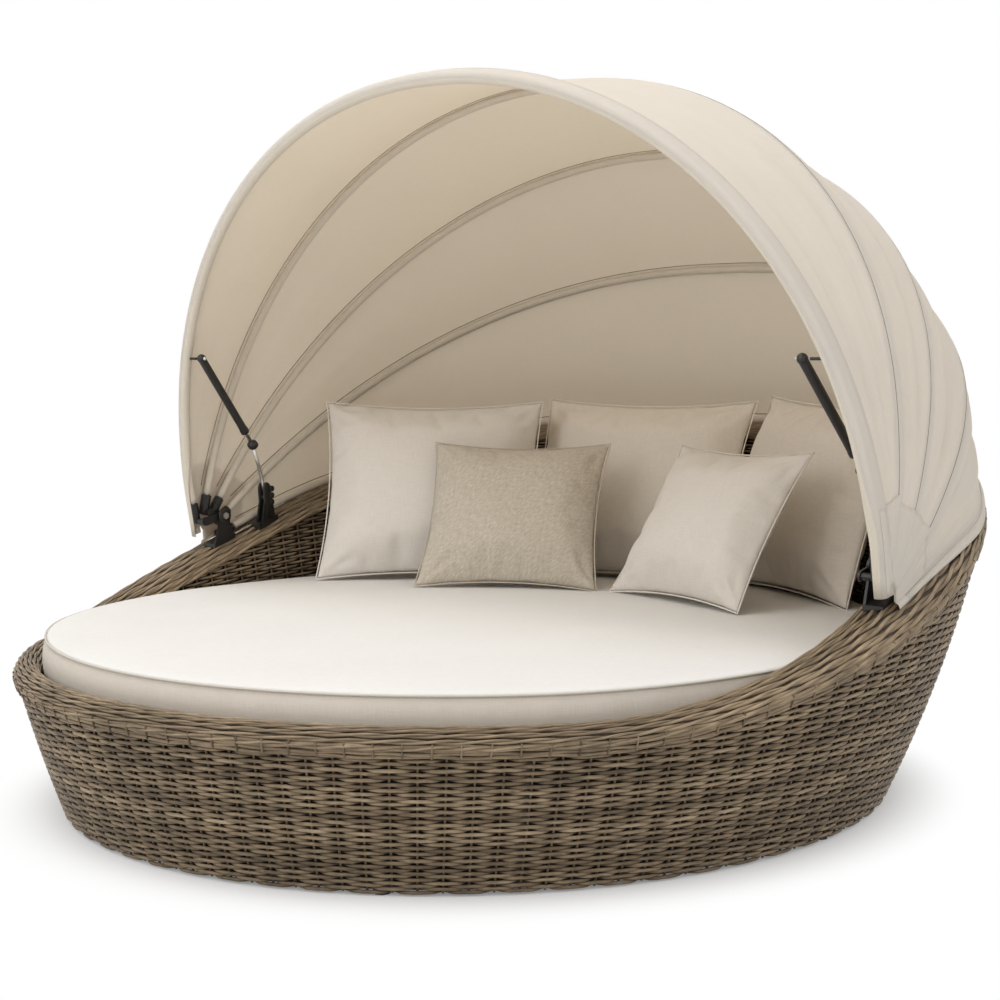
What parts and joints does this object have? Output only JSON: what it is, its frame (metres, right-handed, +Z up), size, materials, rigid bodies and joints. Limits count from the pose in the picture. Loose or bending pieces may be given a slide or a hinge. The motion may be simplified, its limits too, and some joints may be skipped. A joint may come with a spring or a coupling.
{
  "type": "outdoor daybed with canopy",
  "caption": "Oval woven daybed with mattress and pillows under a fabric canopy that folds back on arched bows.",
  "frame": {"origin": "on the ground under the centre leg, midway between the two hubs", "axes": "+X to the sitter's left as they look out (right in front view), +Y towards the high back, +Z up; the open front faces -Y"},
  "size_m": [1.9074, 2.0598, 1.4577],
  "materials": {
    "wicker": "woven synthetic rattan, satin, taupe brown",
    "frame": "powder coated aluminium tube",
    "slats": "oiled slats",
    "plastic": "black moulded nylon",
    "steel": "bright stainless steel",
    "bows": "satin tube",
    "mattress_fabric": "woven outdoor cloth, cream",
    "pillow_linen": "slubbed outdoor linen, pale sand",
    "pillow_twill": "coarse twill, sand",
    "canopy_fabric": "light woven canopy cloth, sand"
  },
  "bodies": {
    "basket": {"basket_frame": "frame", "deck_slat_1": "slats", "deck_slat_2": "slats", "deck_slat_3": "slats", "deck_slat_4": "slats", "deck_slat_5": "slats", "glide_1": "plastic", "glide_2": "plastic", "glide_3": "plastic", "glide_4": "plastic", "glide_5": "plastic", "glide_6": "plastic", "centre_leg": "frame", "wicker_outer": "wicker", "wicker_inner": "wicker", "rim_braid": "wicker", "rim_band": "wicker", "mattress": "mattress_fabric", "back_pillow_left": "pillow_linen", "back_pillow_centre": "pillow_linen", "back_pillow_right": "pillow_linen", "throw_pillow_centre": "pillow_twill", "throw_pillow_right": "pillow_linen", "rear_bow": "bows", "hub_bracket_right": "plastic", "hub_bracket_left": "plastic", "hub_bolt_right": "steel", "hub_bolt_left": "steel", "lever_bracket_right": "plastic", "lever_bracket_left": "plastic", "tie_rod_right": "steel", "tie_rod_left": "steel"},
    "hoop_3": {"bow_3": "bows", "knuckle_3_right": "plastic", "knuckle_3_left": "plastic", "canopy_panel_3": "canopy_fabric"},
    "hoop_2": {"bow_2": "bows", "knuckle_2_right": "plastic", "knuckle_2_left": "plastic", "canopy_panel_2": "canopy_fabric"},
    "hoop_1": {"bow_1": "bows", "knuckle_1_right": "plastic", "knuckle_1_left": "plastic", "canopy_panel_1": "canopy_fabric"},
    "hoop_0": {"bow_0": "bows", "knuckle_0_right": "plastic", "knuckle_0_left": "plastic", "bow_clamp_right": "plastic", "bow_clamp_left": "plastic", "canopy_panel_0": "canopy_fabric"},
    "lever_arm_right": {"lever_right": "steel", "knee_right": "plastic"},
    "lever_arm_left": {"lever_left": "steel", "knee_left": "plastic"},
    "stay_right": {"stay_rod_right": "steel", "stay_sleeve_right": "plastic"},
    "stay_left": {"stay_rod_left": "steel", "stay_sleeve_left": "plastic"}
  },
  "joints": [
    {"name": "canopy_fold", "type": "hinge", "parent": "basket", "child": "hoop_3", "pos_m": [0, 0.06, 0.492], "axis": [-1, 0, 0], "range_deg": [0, 17.38], "deforming": ["canopy_panel_3"]},
    {"name": "fold_2", "type": "hinge", "parent": "hoop_3", "child": "hoop_2", "pos_m": [0, 0.06, 0.492], "axis": [-1, 0, 0], "range_deg": [0, 18.9], "deforming": ["canopy_panel_2"]},
    {"name": "fold_1", "type": "hinge", "parent": "hoop_2", "child": "hoop_1", "pos_m": [0, 0.06, 0.492], "axis": [-1, 0, 0], "range_deg": [0, 20.95], "deforming": ["canopy_panel_1"]},
    {"name": "fold_0", "type": "hinge", "parent": "hoop_1", "child": "hoop_0", "pos_m": [0, 0.06, 0.492], "axis": [-1, 0, 0], "range_deg": [0, 24.5], "deforming": ["canopy_panel_0"]},
    {"name": "lever_turn_right", "type": "hinge", "parent": "basket", "child": "lever_arm_right", "pos_m": [0.833, 0.182, 0.53], "axis": [-1, 0, 0], "range_deg": [0, 10.95]},
    {"name": "lever_turn_left", "type": "hinge", "parent": "basket", "child": "lever_arm_left", "pos_m": [-0.833, 0.182, 0.53], "axis": [-1, 0, 0], "range_deg": [0, 10.95]},
    {"name": "knee_turn_right", "type": "hinge", "parent": "lever_arm_right", "child": "stay_right", "pos_m": [0.8, 0.11, 0.66], "axis": [-1, 0, 0], "range_deg": [0, 119.9]},
    {"name": "knee_turn_left", "type": "hinge", "parent": "lever_arm_left", "child": "stay_left", "pos_m": [-0.8, 0.11, 0.66], "axis": [-1, 0, 0], "range_deg": [0, 119.9]}
  ],
  "couplings": [
    {"joint": "fold_2", "follows": "canopy_fold", "ratio": 1.0869},
    {"joint": "fold_1", "follows": "canopy_fold", "ratio": 1.2043},
    {"joint": "fold_0", "follows": "canopy_fold", "ratio": 1.4074},
    {"joint": "lever_turn_right", "follows": "canopy_fold", "ratio": 0.6277},
    {"joint": "lever_turn_left", "follows": "canopy_fold", "ratio": 0.6277},
    {"joint": "knee_turn_right", "follows": "canopy_fold", "ratio": 6.894},
    {"joint": "knee_turn_left", "follows": "canopy_fold", "ratio": 6.894}
  ]
}
